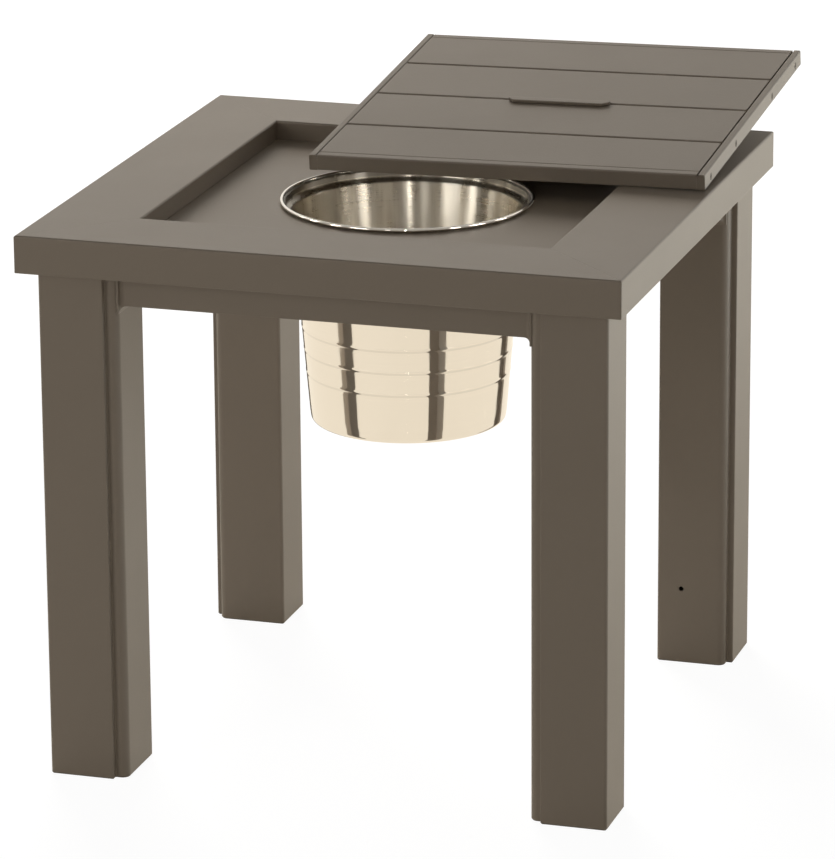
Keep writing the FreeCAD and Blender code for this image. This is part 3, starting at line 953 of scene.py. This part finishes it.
@dataclass
class Studio:
    """A white floor that keeps a soft shadow, a plain sky, soft lamps and the camera."""

    lamps: Sequence[Lamp]
    windows: Sequence[Window]
    camera: PhotoCamera
    floor_size: float = 30.0
    floor_colour: Colour = (0.9, 0.9, 0.9)
    floor_cream: Colour = (1.0, 0.91, 0.76)
    floor_glow: float = 0.88
    floor_white: float = 1.08
    sky_level: float = 0.18
    sky_cream: Colour = (1.0, 0.965, 0.9)
    room_level: float = 0.45
    window_foot: Point = (0.02, 0.06)
    window_head: Point = (0.4, 0.6)
    room_edge: Point = (-0.45, -0.15)
    ceiling_edge: Point = (0.5, 0.8)

    def build(self, table_middle: Vector) -> None:
        """Sets up everything round the object.

        Args:
            table_middle: The point on the floor under the middle of the table.
        """
        bpy.context.scene.view_settings.view_transform = "Standard"
        self.build_floor()
        self.build_sky()
        for lamp in self.lamps:
            lamp.build()
        self.camera.build(table_middle)

    @staticmethod
    def rays(graph: Graph) -> tuple[Wire, Wire]:
        """The rays that show the surroundings.

        Args:
            graph: The tree that asks for them.

        Returns:
            1 for the camera's own rays, and 1 for those in gloss and glass.
        """
        names = ("Is Camera Ray", "Is Glossy Ray", "Is Transmission Ray")
        camera, glossy, through = (graph.node("ShaderNodeLightPath", output=name) for name in names)
        return camera, glossy.highest(through)

    def build_floor(self) -> None:
        """Makes the floor."""
        shape = bmesh.new()
        bmesh.ops.create_grid(shape, x_segments=1, y_segments=1, size=self.floor_size / 2)
        mesh = bpy.data.meshes.new("floor")
        shape.to_mesh(mesh)
        shape.free()
        material, graph = new_graph("white_floor")
        paint = graph.node("ShaderNodeBsdfDiffuse", {}, {"Color": (*self.floor_colour, 1.0)})
        direct, mirrored = self.rays(graph)
        tint = graph.blend(direct, self.floor_cream, (1.0, 1.0, 1.0))
        glow = graph.node("ShaderNodeEmission", {}, {"Color": tint, "Strength": self.floor_white})
        share = direct.highest(mirrored) * self.floor_glow
        both = graph.node("ShaderNodeMixShader", {}, {0: share, 1: paint, 2: glow})
        graph.end("ShaderNodeOutputMaterial", both)
        mesh.materials.append(material)
        floor = bpy.data.objects.new("floor", mesh)
        bpy.context.scene.collection.objects.link(floor)

    def build_sky(self) -> None:
        """Makes the sky: white to the camera, the room with its windows in gloss, a plain level as light."""
        world = bpy.data.worlds.new("sky")
        world.use_nodes = True
        graph = Graph(world.node_tree)
        direct, mirrored = self.rays(graph)
        way = graph.place()
        camera_side = Vector((*self.camera.from_table[:2], 0.0)).normalized()
        flat = graph.stretched_place(way, (0, 0, 0), (1, 1, 0))
        flat = graph.node("ShaderNodeVectorMath", {"operation": "NORMALIZE"}, {0: flat}, "Vector")
        light = sum((window.band(flat, camera_side) for window in self.windows), 0.0)
        height = graph.node("ShaderNodeSeparateXYZ", {}, {"Vector": way}, "Z")
        upright = height.stretched(*self.window_foot) * (1 - height.stretched(*self.window_head))
        inputs = {0: flat, 1: tuple(camera_side)}
        toward = graph.node("ShaderNodeVectorMath", {"operation": "DOT_PRODUCT"}, inputs, "Value")
        inside = toward.stretched(*self.room_edge).highest(height.stretched(*self.ceiling_edge))
        room = 1.0 + inside * (self.room_level - 1.0 + light * upright)
        strength = self.sky_level + (1.0 - self.sky_level) * direct + mirrored * (room - self.sky_level)
        tint = graph.blend(direct, self.sky_cream, (1.0, 1.0, 1.0))
        sky = graph.node("ShaderNodeBackground", {}, {"Color": tint, "Strength": strength})
        graph.end("ShaderNodeOutputWorld", sky)
        bpy.context.scene.world = world


# Each coat's edge colour is partly worn coat and partly a painted highlight on the edges.
TABLE_COAT = PowderCoat("table_powder_coat", light=(0.232, 0.19, 0.147), dark=(0.2, 0.164, 0.127),
                        edge=(0.30, 0.26, 0.215))
# The lid's coat is the table's coat made a little darker: painted shade for the tilted lid.
LID_COAT = PowderCoat("lid_powder_coat", light=(0.226, 0.187, 0.147), dark=(0.194, 0.161, 0.127),
                      edge=(0.30, 0.26, 0.215))
GLIDE_PLASTIC = MouldedPlastic("glide_plastic", colour=(0.15, 0.132, 0.11), scuffed=(0.2, 0.18, 0.16))
SCREW_STEEL = PlainMetal("screw_steel", clean=(0.16, 0.145, 0.125), stained=(0.09, 0.08, 0.07))
RIVET_METAL = PlainMetal("rivet_metal", clean=(0.6, 0.6, 0.6), stained=(0.4, 0.4, 0.4))

BUCKET_TOP = (0.0, -0.07, 0.5)
LAMPS = [
    Lamp("back_lamp", (-1.65, 3.0, 1.88), (0.0, 0.0, 0.5), 1.6, 1.2, 130.0, (1.0, 0.97, 0.92)),
    Lamp("right_lamp", (1.42, 0.2, 0.43), (0.2, -0.7, 1.29), 1.76, 0.6, 12.0, (0.74, 0.87, 1.0), 102.0),
    Lamp("left_lamp", (-1.8, -3.15, 1.4), BUCKET_TOP, 1.2, 0.9, 15.0),
    Lamp("front_lamp", (1.04, -4.07, 1.55), BUCKET_TOP, 0.4, 0.9, 1.0),
]
WINDOWS = [
    Window(-112.0, 6.0, 12.0),
    Window(-95.0, 5.0, 12.0),
    Window(-69.0, 6.0, 12.0),
    Window(-45.0, 17.0, 4.6),
    Window(-18.0, 5.0, 2.6),
    Window(-2.0, 1.4, 30.0),
    Window(45.0, 9.0, 8.5),
    Window(67.0, 12.0, 9.5),
    Window(97.0, 8.0, 10.0),
]


def main() -> None:
    """Builds and dresses everything."""
    logging.basicConfig(level=logging.INFO, format="%(name)s: %(message)s")
    table_middle = middle("recess_panel")
    table_middle.z = 0.0
    # The inside's two colours paint reflection streaks.
    steel = SpunSteel("spun_steel", bright=(0.86, 0.82, 0.76), dull=(0.79, 0.75, 0.69),
                      inner=(0.81, 0.765, 0.685), inner_painted_dark_streak=(0.67, 0.62, 0.54), axis=tuple(table_middle))
    Studio(LAMPS, WINDOWS, PhotoCamera()).build(table_middle)
    Table(TABLE_COAT, GLIDE_PLASTIC).build()
    Bucket(steel).build()
    Lid(LID_COAT, SCREW_STEEL, RIVET_METAL).build()


if __name__ == "__main__":
    main()
